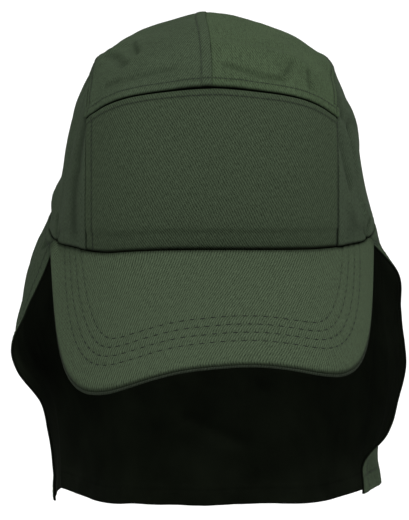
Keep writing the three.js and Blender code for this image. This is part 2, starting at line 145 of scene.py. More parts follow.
@dataclass(frozen=True)
class CrownForm:
    """The crown's outside: a rounded box, flared at the rim and ridged along its centre seam."""

    half_width: float = 80 * MM
    front: float = 99 * MM
    back: float = 93 * MM
    height: float = 105 * MM
    squareness: float = 2.8
    side_flare: float = 7.5 * MM
    back_flare: float = 4 * MM
    flare_height: float = 42 * MM
    front_arch: float = 5 * MM
    rim_levels: tuple[RimLevel, ...] = (
        RimLevel(-0.1, 0.0, 0.0),
        RimLevel(0.37, -0.82, -0.54),
        RimLevel(0.62, -0.32, -0.02),
        RimLevel(0.85, 0.04, 0.48),
        RimLevel(0.95, 0.62, 0.8),
        RimLevel(1.0, 1.0, 1.0),
    )
    front_tuck: float = 2.2 * MM
    tuck_height: float = 17 * MM
    ridge_height: float = 5.5 * MM
    ridge_width: float = 22 * MM
    ridge_lean: float = 3.5 * MM
    cloth: float = 1.4 * MM
    crease_unit: float = 10 * MM
    creases: tuple[Crease, ...] = (
        Crease((-0.7, -0.2, 0.84), (-0.74, 0.15, 0.8), 0.7, 0.2),
        Crease((-0.5, -0.3, 0.98), (-0.42, 0.1, 1.0), 0.8, -0.12),
        Crease((0.1, -0.58, 0.88), (0.55, -0.5, 0.83), 0.5, -0.12),
        Crease((0.62, -0.42, 0.83), (0.55, -0.1, 0.95), 0.45, -0.1),
        Crease((0.92, -0.3, 0.66), (0.98, 0.1, 0.4), 0.8, 0.16),
        Crease((0.9, -0.42, 0.5), (0.93, -0.44, 0.1), 0.6, -0.14),
        Crease((-0.92, -0.42, 0.56), (-0.95, -0.36, 0.1), 0.6, -0.14),
        Crease((-0.97, -0.05, 0.5), (-1.02, 0.1, 0.22), 0.8, -0.3),
        Crease((-1.0, -0.1, 0.12), (-1.0, 0.25, 0.1), 0.8, 0.5),
        Crease((-0.46, 0.1, 0.95), (-0.14, 0.15, 1.0), 1.7, -0.22),
        Crease((0.76, -0.1, 0.82), (0.78, 0.25, 0.78), 0.7, 0.2),
        Crease((-0.99, 0.35, 0.3), (-0.86, 0.55, 0.6), 0.9, 0.14),
        Crease((0.99, 0.4, 0.3), (0.84, 0.6, 0.6), 0.9, -0.14),
        Crease((-0.3, 0.92, 0.2), (0.2, 0.96, 0.32), 0.8, -0.12),
    )
    side_seam_in: tuple[float, float, float] = (15 * MM, 17 * MM, 30 * MM)
    top_seam_below_top: float = 23 * MM
    top_seam_corner_turn: float = math.radians(2.8)
    back_corner_turn: float = math.radians(50)

    def rounded_length(self, direction: np.ndarray) -> np.ndarray:
        """Return the directions' lengths by the norm that gives the crown its sections."""
        return (np.abs(direction) ** self.squareness).sum(-1) ** (1 / self.squareness)

    def rest(self, share: np.ndarray) -> np.ndarray:
        """Return what of 1 is left beside a share, by the same norm."""
        return np.maximum(0.0, 1 - np.abs(share) ** self.squareness) ** (1 / self.squareness)

    def reach(self, share: np.ndarray) -> np.ndarray:
        """Return the half sizes along X, Y and Z on the side where each place lies."""
        along_y = np.where(share[..., 1] < 0, self.front, self.back)
        return np.stack([np.full_like(along_y, self.half_width), along_y, np.full_like(along_y, self.height)], -1)

    def creased(self, point: np.ndarray) -> np.ndarray:
        """Return how far the creases lift each place, in metres."""
        lift = np.zeros(point.shape[:-1])
        for crease in self.creases:
            start, end = (np.asarray(place) for place in (crease.start, crease.end))
            start, end = start * self.reach(start), end * self.reach(end)
            run = end - start
            share = np.clip(((point - start) @ run) / (run @ run), 0, 1)
            distance = np.linalg.norm(point - start - share[..., None] * run, axis=-1)
            lift += crease.stands * self.crease_unit * bell(distance, crease.width * self.crease_unit)
        return lift

    def rim_rise(self, aside: np.ndarray, forward: np.ndarray) -> np.ndarray:
        """Return how far the rim rises at a place aside and forward, in metres."""
        places = [level.forward for level in self.rim_levels]
        ahead = np.clip(forward, places[0], places[-1])
        right = through(places, [level.right for level in self.rim_levels], ahead)
        left = through(places, [level.left for level in self.rim_levels], ahead)
        return self.front_arch * np.where(aside < 0, right, left)

    def at(self, direction: np.ndarray) -> tuple[np.ndarray, np.ndarray]:
        """Find the crown's outside in a direction.

        Args:
            direction: Shares of the half width, the reach and the height; only the way they point counts.

        Returns:
            The points and the outward directions there.
        """
        share = direction / self.rounded_length(direction)[..., None]
        half = self.reach(share)
        point = share * half
        outward = unit(np.sign(share) * np.abs(share) ** (self.squareness - 1) / half)
        low = np.maximum(0, 1 - point[..., 2] / self.flare_height) ** 2
        foot = np.maximum(0, 1 - point[..., 2] / self.tuck_height) ** 2
        forward = -point[..., 1] / self.front
        high = point[..., 2] / self.height
        aside = point[..., 0] * self.side_flare * low * smooth_step(-forward, -0.7, -0.1) / self.half_width
        behind = self.back_flare * low * smooth_step(point[..., 1] / self.back, 0, 1)
        tucked = self.front_tuck * foot * smooth_step(forward, 0.5, 0.9)
        arched = self.rim_rise(point[..., 0], forward) * (1 - high) ** 2
        ridge = self.ridge_height * bell(point[..., 0], self.ridge_width) * high**3
        lean = self.ridge_lean * high**6 * (1 - np.abs(share[..., 0])) * smooth_step(-forward, -0.9, 0)
        lifted = point + outward * (self.creased(point) * (1 - low))[..., None]
        return lifted + np.stack([aside - lean, behind + tucked, arched + ridge], -1), outward

    def band(self, share: np.ndarray, angle: np.ndarray) -> np.ndarray:
        """Find the direction of a place on the middle band.

        Args:
            share: Its share of the half width.
            angle: How far round it is, from the peak (0) over the top (pi / 2) to the nape (pi).

        Returns:
            The direction.
        """
        share, angle = np.broadcast_arrays(share, angle)
        arc = np.stack([np.zeros_like(angle), -np.cos(angle), np.sin(angle)], -1)
        arc = arc * (self.rest(share) / self.rounded_length(arc))[..., None]
        arc[..., 0] = share
        return arc

    def rim(self, angle: np.ndarray) -> np.ndarray:
        """Return the direction of a place on the rim, from the front (0) to the back (pi)."""
        return np.stack([np.sin(angle), -np.cos(angle), np.zeros_like(angle)], -1)

    def rim_angle(self, back: float) -> float:
        """Return the rim's angle at a distance back from the front of the crown."""
        forward = 1 - back / self.front
        return math.atan2(float(self.rest(np.asarray(forward))), forward)

    def side_seam(self, angle: np.ndarray) -> np.ndarray:
        """Return the side seam's share of the half width, along its run from peak to nape."""
        return 1 - through((0, math.pi / 2, math.pi), self.side_seam_in, angle) / self.half_width

    def top_seam(self, out: np.ndarray) -> np.ndarray:
        """Return the angle of the seam over the front panel, from its middle (0) to its corner (1)."""
        height = 1 - self.top_seam_below_top / self.height
        middle = math.atan2(height, float(self.rest(np.asarray(height))))
        return middle + self.top_seam_corner_turn * out**2

    @property
    def corner(self) -> float:
        """Where the seam over the front panel meets the side seam."""
        return float(self.top_seam(np.asarray(1.0)))

    @property
    def back_corner(self) -> float:
        """Where the side seam turns down to the nape."""
        return math.pi - self.back_corner_turn

    def front_panel(self, u: np.ndarray, v: np.ndarray) -> tuple[np.ndarray, np.ndarray]:
        """Lay the front panel: u from the wearer's right seam to the left, v up from the peak."""
        out = 2 * u - 1
        angle = v * self.top_seam(np.abs(out))
        return self.at(self.band(out * self.side_seam(angle), angle))

    def top_panel(self, side: int, u: np.ndarray, v: np.ndarray) -> tuple[np.ndarray, np.ndarray]:
        """Lay a top panel: u out from the centre seam, v from the front panel to the nape."""
        angle = self.top_seam(u) + v * (math.pi - self.top_seam(u))
        return self.at(self.band(side * u * self.side_seam(angle), angle))

    def side_panel(self, side: int, u: np.ndarray, v: np.ndarray) -> tuple[np.ndarray, np.ndarray]:
        """Lay a side panel between the rim and the side seam: u backwards, v up."""

        def seam(angle: np.ndarray) -> np.ndarray:
            """Return the direction of a place on the side seam."""
            return self.band(side * self.side_seam(angle), angle)

        def foot(angle: float) -> float:
            """Return the rim's angle below an end of the side seam."""
            x, y, _ = seam(np.asarray(angle))
            return math.atan2(abs(x), -y)

        def rim(share: np.ndarray) -> np.ndarray:
            """Return the direction of a place on the panel's share of the rim."""
            way = self.rim(side * (foot(0.0) + share * (foot(math.pi) - foot(0.0))))
            return way / self.rounded_length(way)[..., None]

        corner, back = self.corner, self.back_corner
        u1, v1 = u[..., None], v[..., None]
        zero, one = np.zeros_like(u), np.ones_like(u)
        up_down = rim(u) * (1 - v1) + seam(corner + u * (back - corner)) * v1
        front_back = seam(v * corner) * (1 - u1) + seam(math.pi + v * (back - math.pi)) * u1
        low = rim(zero) * (1 - u1) + rim(one) * u1
        high = seam(corner * one) * (1 - u1) + seam(back * one) * u1
        return self.at(up_down + front_back - (low * (1 - v1) + high * v1))


# Form of the peak


@dataclass(frozen=True)
class PeakForm:
    """The peak's upper side, out from under the crown's rim. Pairs are for the wearer's right and left."""

    crown: CrownForm
    length: float = 69 * MM
    slope: float = math.radians(40)
    end_back: float = 62 * MM
    tip: float = 3 * MM
    end_below: float = 2.4 * MM
    belly: float = 1.6 * MM
    squareness: float = 3.75
    taper: float = 0.115
    bend: tuple[float, float] = (2.55, 2.85)
    twist: float = 8 * MM
    shift: float = 2 * MM
    under_rim: float = 0.7 * MM
    steepest: float = 1.7

    def at(self, u: np.ndarray, v: np.ndarray) -> tuple[np.ndarray, np.ndarray]:
        """Lay the upper side.

        Args:
            u: From the wearer's right end (0) to the left end (1).
            v: From the crown (0) to the front edge (1).

        Returns:
            The points, and the way up there, longer where the peak is steep.
        """
        end_angle = self.crown.rim_angle(self.end_back)
        turn = 2 * u - 1
        rim, outward = self.crown.at(self.crown.rim(turn * end_angle))
        start = rim - outward * self.crown.cloth
        right_end, middle, end = self.crown.at(self.crown.rim(np.array([-end_angle, 0.0, end_angle])))[0]
        fall = math.tan(self.slope)
        end_x = end[0] + self.tip
        sags = [middle[2] - place[2] + (end[1] - middle[1]) * fall + self.end_below for place in (right_end, end)]
        front_reach = end[1] - middle[1] + self.length * math.cos(self.slope)
        around = turn * math.pi / 2

        def rounded(part: np.ndarray) -> np.ndarray:
            """Square off a sine or cosine, for the edge's corners."""
            return np.sign(part) * np.abs(part) ** (2 / self.squareness)

        def field_height(x: np.ndarray, y: np.ndarray) -> np.ndarray:
            """Return the height of the sloping, sagging sheet that the peak lies in."""
            aside = np.abs(x / end_x)
            sag = np.where(x < 0, sags[0] * aside ** self.bend[0], sags[1] * aside ** self.bend[1])
            return middle[2] - (middle[1] - y) * fall - sag

        ahead = rounded(np.maximum(0, np.cos(around)))
        edge_x = end_x * rounded(np.sin(around)) * (1 - self.taper * ahead) + self.shift * ahead
        edge_y = end[1] - front_reach * ahead
        x = start[..., 0] + (edge_x - start[..., 0]) * v
        y = start[..., 1] + (edge_y - start[..., 1]) * v
        seat = rim[..., 2] - self.under_rim - field_height(start[..., 0], start[..., 1])
        belly = self.belly * 4 * v * (1 - v) * np.cos(around)
        twist = self.twist * ahead * v * edge_x / end_x
        z = field_height(x, y) + seat * (1 - v) ** 2 + belly + twist
        point = np.stack([x, y, z], -1)
        level = np.abs(grid_normals(point)[..., 2:3])
        return point, np.array([0, 0, 1.0]) / np.maximum(level, 1 / self.steepest)


# Form of the neck flap


class Hand(Enum):
    """A side of the wearer."""

    RIGHT = "R"
    LEFT = "L"


@dataclass(frozen=True)
class FlapLevel:
    """How far the flap stands out at one level, as shares of its flare, column by column."""

    down: float
    back: float
    side: tuple[float, float]
    front: tuple[float, float]
    edge: tuple[float, float]

    def across(self, hand: Hand) -> tuple[float, float, float, float]:
        """Return the four columns on one side, from the back to the front edge."""
        pick = 0 if hand is Hand.RIGHT else 1
        return self.back, self.side[pick], self.front[pick], self.edge[pick]


@dataclass(frozen=True)
class FlapFold:
    """An upright fold: its place and width along the rim, how far it stands and where it begins."""

    at: float
    width: float
    stands: float
    begins: float


@dataclass(frozen=True)
class FlapForm:
    """The flap's outside. Pairs of numbers are for the wearer's right and left."""

    crown: CrownForm
    peak: PeakForm
    drop_back: float = 192.5 * MM
    drop_right: float = 143.5 * MM
    drop_left: float = 141 * MM
    hem_rise: float = 0.8
    behind_peak: float = 1.2 * MM
    flare: float = 26 * MM
    cloth: float = 1.3 * MM
    columns: tuple[float, float, float, float] = (0, 0.58, 0.88, 1)
    levels: tuple[FlapLevel, ...] = (
        FlapLevel(0.0, 0.0, (0.0, 0.0), (0.0, 0.0), (0.0, 0.0)),
        FlapLevel(0.13, 0.1, (0.36, 0.1), (0.36, 0.2), (0.26, 0.6)),
        FlapLevel(0.27, 0.16, (0.48, 0.18), (0.56, 0.28), (0.64, 0.66)),
        FlapLevel(0.4, 0.2, (0.5, 0.24), (0.68, 0.38), (0.92, 0.74)),
        FlapLevel(0.5, 0.2, (0.34, 0.28), (0.56, 0.46), (0.78, 0.76)),
        FlapLevel(0.62, 0.16, (0.06, 0.24), (0.14, 0.42), (0.32, 0.65)),
        FlapLevel(0.75, 0.08, (-0.12, 0.14), (-0.04, 0.3), (0.17, 0.46)),
        FlapLevel(0.88, 0.0, (-0.2, 0.0), (-0.08, 0.1), (0.12, -0.04)),
        FlapLevel(1.0, -0.06, (-0.22, 0.0), (-0.08, 0.2), (0.1, -0.06)),
    )
    folds: tuple[FlapFold, ...] = (
        FlapFold(-0.74, 0.07, 0.16, 0.1),
        FlapFold(-0.5, 0.09, -0.14, 0.2),
        FlapFold(-0.27, 0.08, 0.17, 0.1),
        FlapFold(-0.02, 0.1, -0.15, 0.15),
        FlapFold(0.22, 0.08, 0.16, 0.1),
        FlapFold(0.47, 0.09, -0.16, 0.2),
        FlapFold(0.72, 0.07, 0.14, 0.1),
    )

    def stands_out(self, along: np.ndarray, down: np.ndarray) -> np.ndarray:
        """Measure how far the flap stands out from the rim.

        Args:
            along: From the wearer's right edge (-1) round the back (0) to the left edge (1).
            down: The share of the drop.

        Returns:
            The distances in metres.
        """
        levels = [level.down for level in self.levels]
        drape = np.zeros(along.shape)
        for hand, mask in ((Hand.RIGHT, along < 0), (Hand.LEFT, along >= 0)):
            table = np.array([level.across(hand) for level in self.levels])
            for row in range(along.shape[0]):
                stands = [float(through(levels, column, down[row, 0])) for column in table.T]
                places = (-self.columns[1], *self.columns)
                read = through(places, (stands[1], *stands), np.abs(along[row]))
                drape[row] = np.where(mask[row], read, drape[row])
        folds = sum(
            fold.stands * bell(along - fold.at, fold.width) * smooth_step(down, fold.begins, 1)
            for fold in self.folds
        )
        return self.flare * (drape + folds)

    def at(self, u: np.ndarray, v: np.ndarray) -> tuple[np.ndarray, np.ndarray]:
        """Lay the flap's outside: u from the wearer's right edge to the left one, v down to the hem."""
        along = 2 * u - 1
        edge_angle = self.crown.rim_angle(self.peak.end_back + self.behind_peak)
        angle = math.pi + np.abs(along) * (edge_angle - math.pi)
        rim, outward = self.crown.at(self.crown.rim(np.where(along < 0, -angle, angle)))
        edge_drop = np.where(along < 0, self.drop_right, self.drop_left)
        ease = smooth_step(1 - np.abs(along), 0, self.hem_rise)
        drop = edge_drop + (self.drop_back - edge_drop) * ease
        point = rim + outward * self.stands_out(along, v)[..., None]
        point[..., 2] -= v * drop
        square = grid_normals(point)
        facing = np.sign((square * outward).sum(-1, keepdims=True))
        return point, square * np.where(facing == 0, 1, facing)


def grid_normals(point: np.ndarray) -> np.ndarray:
    """Return the unit normals of a grid of points."""
    along, down = np.gradient(point, axis=1), np.gradient(point, axis=0)
    return unit(np.cross(along, down))


# Laying and sewing cloth


class Edge(Enum):
    """An edge of a laid cloth."""

    LEFT = "left"
    RIGHT = "right"
    BOTTOM = "bottom"
    TOP = "top"


@dataclass(frozen=True)
class Seam:
    """How cloth lies beside a sewn edge: it turns in, lies thicker over the allowance and is stitched.

    The fold is wider at the middle of the cap by the share "gape". It loses the share "shade" of the light,
    and a row of stitches loses "row_shade".
    """

    sink: float = 1.0 * MM
    roll: float = 1.2 * MM
    pad: float = 0.35 * MM
    allowance: float = 5.5 * MM
    rows: tuple[float, ...] = ()
    dent: float = 0.2 * MM
    pucker: float = 0.12 * MM
    shade: float = 0.9
    gape: float = 0.0
    row_shade: float = 0.36
    row_width: float = 0.55 * MM
    dent_width: float = 0.7 * MM
    gape_width: float = 26 * MM

    def rolled(self, point: np.ndarray) -> np.ndarray:
        """Return how far from the edge the cloth turns in at each place."""
        return self.roll * (1 + self.gape * bell(point[..., 0], self.gape_width))

    def relief(self, distance: np.ndarray, point: np.ndarray, swell: np.ndarray) -> np.ndarray:
        """Work out how far the cloth stands out beside the seam.

        Args:
            distance: From the edge, in metres.
            point: The places.
            swell: Noise from -1 to 1 for the puckers.

        Returns:
            The relief in metres.
        """
        turned = -self.sink * np.clip(1 - distance / self.rolled(point), 0, 1) ** 2
        lifted = self.pad * (1 - smooth_step(distance, self.allowance * 0.8, self.allowance * 1.25))
        dents = (-self.dent * bell(distance - row, self.dent_width) for row in self.rows)
        stitched = sum(dents, np.zeros_like(distance))
        puckered = self.pucker * swell * bell(distance - self.allowance * 0.6, self.allowance)
        return turned + lifted + stitched + puckered

    def darkness(self, distance: np.ndarray, point: np.ndarray) -> np.ndarray:
        """Return the share of the light that each place loses in the fold and along the stitches."""
        dark = self.shade * bell(distance, 0.6 * self.rolled(point))
        for row in self.rows:
            dark = np.maximum(dark, self.row_shade * bell(distance - row, self.row_width))
        return dark


@dataclass(frozen=True)
class Fold:
    """A soft fold or dent pressed into the cloth along a few places; a deep one loses a share of the light."""

    run: tuple[tuple[float, float, float], ...]
    width: float
    stands: float
    shade: float = 0.0

    def nearness(self, point: np.ndarray) -> np.ndarray:
        """Return 1 on the fold, falling off over its width."""
        nearest = np.full(point.shape[:-1], np.inf)
        for start, end in zip(np.array(self.run[:-1]) * MM, np.array(self.run[1:]) * MM):
            run = end - start
            share = np.clip(((point - start) @ run) / (run @ run), 0, 1)
            away = np.linalg.norm(point - start - share[..., None] * run, axis=-1)
            nearest = np.minimum(nearest, away)
        return bell(nearest, self.width)


@dataclass
class Laid:
    """Cloth laid as a grid of places, with how far each lies from the four edges."""

    point: np.ndarray
    outward: np.ndarray
    distance: dict[Edge, np.ndarray] = field(init=False)

    def __post_init__(self) -> None:
        """Measure the distances along the cloth."""

        def run(axis: int) -> np.ndarray:
            """Measure how far along one axis of the grid each place lies."""
            steps = np.linalg.norm(np.diff(self.point, axis=axis), axis=-1)
            pad = [(1, 0), (0, 0)] if axis == 0 else [(0, 0), (1, 0)]
            return np.pad(np.cumsum(steps, axis=axis), pad)

        across, along = run(1), run(0)
        self.distance = {
            Edge.LEFT: across,
            Edge.RIGHT: across[:, -1:] - across,
            Edge.BOTTOM: along,
            Edge.TOP: along[-1:, :] - along,
        }

    def nearest(self, edge: Edge) -> np.ndarray:
        """Measure the shortest way from each place to one edge."""
        lines = {Edge.LEFT: self.point[:, 0], Edge.RIGHT: self.point[:, -1], Edge.BOTTOM: self.point[0]}
        line = lines.get(edge, self.point[-1])
        gap = np.full(self.point.shape[:-1], np.inf)
        for place in line:
            gap = np.minimum(gap, np.linalg.norm(self.point - place, axis=-1))
        return gap

    def row(self, edge: Edge, inset: float, proud: float) -> tuple[np.ndarray, np.ndarray]:
        """Trace a line on the cloth at a distance from one edge.

        Args:
            edge: The edge that it follows.
            inset: Its distance from that edge.
            proud: How far it stands off the cloth.

        Returns:
            The line's points and the outward directions along it.
        """
        distance = self.distance[edge]
        lines = range(distance.shape[0]) if edge in (Edge.LEFT, Edge.RIGHT) else range(distance.shape[1])
        points: list[np.ndarray] = []
        ways: list[np.ndarray] = []
        for k in lines:
            pick = (k, slice(None)) if edge in (Edge.LEFT, Edge.RIGHT) else (slice(None), k)
            reach, place, way = distance[pick], self.point[pick], self.outward[pick]
            if edge in (Edge.RIGHT, Edge.TOP):
                reach, place, way = reach[::-1], place[::-1], way[::-1]
            after = int(np.argmax(reach >= inset))
            if after == 0 or reach.max() < inset * 1.05:
                continue
            share = (inset - reach[after - 1]) / (reach[after] - reach[after - 1])
            points.append(place[after - 1] + share * (place[after] - place[after - 1]))
            ways.append(way[after])
        ways_out = unit(np.array(ways))
        return np.array(points) + ways_out * proud, ways_out


@dataclass
class Cloth:
    """A cloth piece: where it lies, its thickness, its sewn edges, its folds and its small wrinkles."""

    name: str
    place: Callable[[np.ndarray, np.ndarray], tuple[np.ndarray, np.ndarray]]
    steps: tuple[int, int]
    thickness: float
    seams: dict[Edge, Seam] = field(default_factory=dict)
    wrinkle: float = 0.25 * MM
    grain: tuple[float, float, float] = (9 * MM, 9 * MM, 30 * MM)
    pucker_grain: float = 7 * MM
    seed: float = 0.0
    folds: tuple[Fold, ...] = ()
    shape: Callable[[Laid], np.ndarray] | None = None
    bunching: float = 0.6
    edge_shade: float = 0.85
    painted_shade_edges: bool = False
    round_edge: Edge | None = None
    laid: Laid | None = None

    def lay(self) -> Laid:
        """Lay the cloth and work its relief in.

        Returns:
            The laid cloth.
        """
        u, v = np.meshgrid(*(self.shares(count) for count in self.steps))
        flat = self.measured(*self.place(u, v))
        swell = ripple(flat.point, (self.pucker_grain,) * 3, self.seed + 5)
        relief = self.wrinkle * ripple(flat.point, self.grain, self.seed)
        relief += 0.4 * self.wrinkle * ripple(flat.point, [size / 3 for size in self.grain], self.seed + 11)
        for edge, seam in self.seams.items():
            relief += seam.relief(flat.distance[edge], flat.point, swell)
        for fold in self.folds:
            relief += fold.stands * fold.nearness(flat.point)
        if self.shape:
            relief += self.shape(flat)
        self.laid = self.measured(flat.point + flat.outward * relief[..., None], flat.outward)
        return self.laid

    def measured(self, point: np.ndarray, outward: np.ndarray) -> Laid:
        """Measure the cloth, the shortest way from its rounded edge if it has one."""
        laid = Laid(point, outward)
        if self.round_edge:
            laid.distance[self.round_edge] = laid.nearest(self.round_edge)
        return laid

    def shares(self, count: int) -> np.ndarray:
        """Return the grid's places from 0 to 1, closer together at the edges, where the seams are."""
        even = np.linspace(0, 1, count + 1)
        return even - self.bunching * np.sin(2 * math.pi * even) / (2 * math.pi)

    def build(self) -> bpy.types.Object:
        """Make the piece: a fine grid, doubled to its thickness and bent to where the cloth lies.

        Returns:
            The object.
        """
        laid = self.laid or self.lay()
        columns, rows = self.steps
        mesh_maker = bmesh.new()
        bmesh.ops.create_grid(mesh_maker, x_segments=columns, y_segments=rows, size=0.5)
        extruded = bmesh.ops.extrude_face_region(mesh_maker, geom=mesh_maker.faces[:])
        inner = [part for part in extruded["geom"] if isinstance(part, bmesh.types.BMVert)]
        bmesh.ops.translate(mesh_maker, verts=inner, vec=(0, 0, -1))
        bmesh.ops.recalc_face_normals(mesh_maker, faces=mesh_maker.faces[:])
        for face in mesh_maker.faces:
            face.smooth = True
            # Inner faces take the second finish, near-black painted shade, and where asked the cut edges' walls
            # take it too, as a painted dark groove.
            inner_corners = sum(vert.co.z < -0.5 for vert in face.verts)
            face.material_index = int(inner_corners == 4 or (inner_corners > 0 and self.painted_shade_edges))
        uv = mesh_maker.loops.layers.uv.new(CLOTH_UV)
        shade = mesh_maker.verts.layers.float.new(SEAM_SHADE)
        across, along = laid.distance[Edge.LEFT], laid.distance[Edge.BOTTOM]
        dark = self.darkness(laid)
        under = laid.point - laid.outward * self.thickness
        reach = {}
        for vert in mesh_maker.verts:
            i, j = round((vert.co.x + 0.5) * columns), round((vert.co.y + 0.5) * rows)
            outside = vert.co.z > -0.5
            # Painted shade: the inner border of each cut edge's wall is darkened, so the wall fades to dark.
            edge_painted_shade = 0.0 if outside or (0 < i < columns and 0 < j < rows) else self.edge_shade
            vert[shade] = max(dark[j, i], edge_painted_shade)
            vert.co = laid.point[j, i] if outside else under[j, i]
            turned = 0.0 if outside else self.thickness
            past = ((i == columns) - (i == 0), (j == rows) - (j == 0))
            reach[vert] = (across[j, i] + turned * past[0], along[j, i] + turned * past[1])
        for face in mesh_maker.faces:
            for loop in face.loops:
                loop[uv].uv = reach[loop.vert]
        middle = (rows // 2, columns // 2)
        facing = np.cross(
            laid.point[middle[0], middle[1] + 1] - laid.point[middle],
            laid.point[middle[0] + 1, middle[1]] - laid.point[middle],
        )
        if facing @ laid.outward[middle] < 0:
            bmesh.ops.reverse_faces(mesh_maker, faces=mesh_maker.faces[:])
        return finished(self.name, mesh_maker)

    def darkness(self, laid: Laid) -> np.ndarray:
        """Return how much of the light each place loses in a seam or fold, from 0 to 1."""
        dark = [seam.darkness(laid.distance[edge], laid.point) for edge, seam in self.seams.items()]
        dark += [fold.shade * fold.nearness(laid.point) for fold in self.folds if fold.shade]
        return np.max([np.zeros(laid.point.shape[:-1]), *dark], axis=0)


def finished(name: str, mesh_maker: bmesh.types.BMesh) -> bpy.types.Object:
    """Turn a bmesh into an object at the origin.

    Args:
        name: The object's name.
        mesh_maker: The bmesh, which is freed.

    Returns:
        The object, linked to the scene.
    """
    mesh = bpy.data.meshes.new(name)
    mesh_maker.to_mesh(mesh)
    mesh_maker.free()
    piece = bpy.data.objects.new(name, mesh)
    bpy.context.scene.collection.objects.link(piece)
    return piece


@dataclass(frozen=True)
class Stitching:
    """A row of sewn stitches: each is a short thread that lies in the cloth.

    Where a row fades, its thread is pulled deeper into the cloth towards both of the row's ends.
    """

    length: float = 2.1 * MM
    pitch: float = 2.7 * MM
    thread: float = 0.45 * MM
    fade: float = 0.0

    def sew(self, piece: bmesh.types.BMesh, points: np.ndarray, ways: np.ndarray) -> None:
        """Sew along a line.

        Args:
            piece: The bmesh that the stitches go into.
            points: The line.
            ways: The outward directions along it.
        """
        run = np.concatenate([[0], np.cumsum(np.linalg.norm(np.diff(points, axis=0), axis=1))])
        row = bmesh.new()
        for k in range(int((run[-1] - self.length) / self.pitch)):
            middle = (k + 0.5) * self.pitch
            ends = [np.array([np.interp(middle + s, run, points[:, n]) for n in range(3)])
                    for s in (-self.length / 2, self.length / 2)]
            out = unit(np.array([np.interp(middle, run, ways[:, n]) for n in range(3)]))
            along = unit(ends[1] - ends[0])
            side = unit(np.cross(out, along))
            aside = abs(2 * middle / run[-1] - 1)
            thread = self.thread * (1 - self.fade * float(smooth_step(np.asarray(aside), 0.4, 0.75)))
            sizes = (np.linalg.norm(ends[1] - ends[0]), thread, thread * 0.7)
            axes = (along, side, np.cross(along, side))
            turn = Matrix(np.column_stack([axis * size for axis, size in zip(axes, sizes)]).tolist()).to_4x4()
            turn.translation = Vector((ends[0] + ends[1]) / 2)
            bmesh.ops.create_uvsphere(row, u_segments=6, v_segments=4, radius=0.5, matrix=turn)
        mesh = bpy.data.meshes.new("row")
        row.to_mesh(mesh)
        row.free()
        piece.from_mesh(mesh)
        bpy.data.meshes.remove(mesh)


# Finishes


def linear(hex_colour: str) -> tuple[float, float, float, float]:
    """Turn an sRGB hex value to a linear colour."""
    parts = [int(hex_colour[i : i + 2], 16) / 255 for i in (0, 2, 4)]
    curve = [part / 12.92 if part <= 0.04045 else ((part + 0.055) / 1.055) ** 2.4 for part in parts]
    return (*curve, 1.0)


def add_node(
    material: bpy.types.Material,
    kind: str,
    settings: dict[str, object] | None = None,
    inputs: dict[str | int, object] | None = None,
) -> bpy.types.Node:
    """Add a node with its settings and links.

    Args:
        material: Whose tree it goes into.
        kind: The node's type.
        settings: Its properties.
        inputs: Its sockets; an output socket as a value is linked, anything else is set.

    Returns:
        The node.
    """
    tree = material.node_tree
    node = tree.nodes.new(kind)
    for name, value in (settings or {}).items():
        setattr(node, name, value)
    for name, value in (inputs or {}).items():
        if isinstance(value, bpy.types.NodeSocket):
            tree.links.new(value, node.inputs[name])
        else:
            node.inputs[name].default_value = value
    return node


def blank_material(name: str) -> bpy.types.Material:
    """Make a material with an empty tree."""
    material = bpy.data.materials.new(name)
    material.use_nodes = True
    material.node_tree.nodes.clear()
    return material


def surfaced(material: bpy.types.Material, inputs: dict[str | int, object]) -> bpy.types.Material:
    """Give a material its shader with these inputs, and return it."""
    shader = add_node(material, "ShaderNodeBsdfPrincipled", inputs=inputs)
    add_node(material, "ShaderNodeOutputMaterial", inputs={"Surface": shader.outputs[0]})
    return material


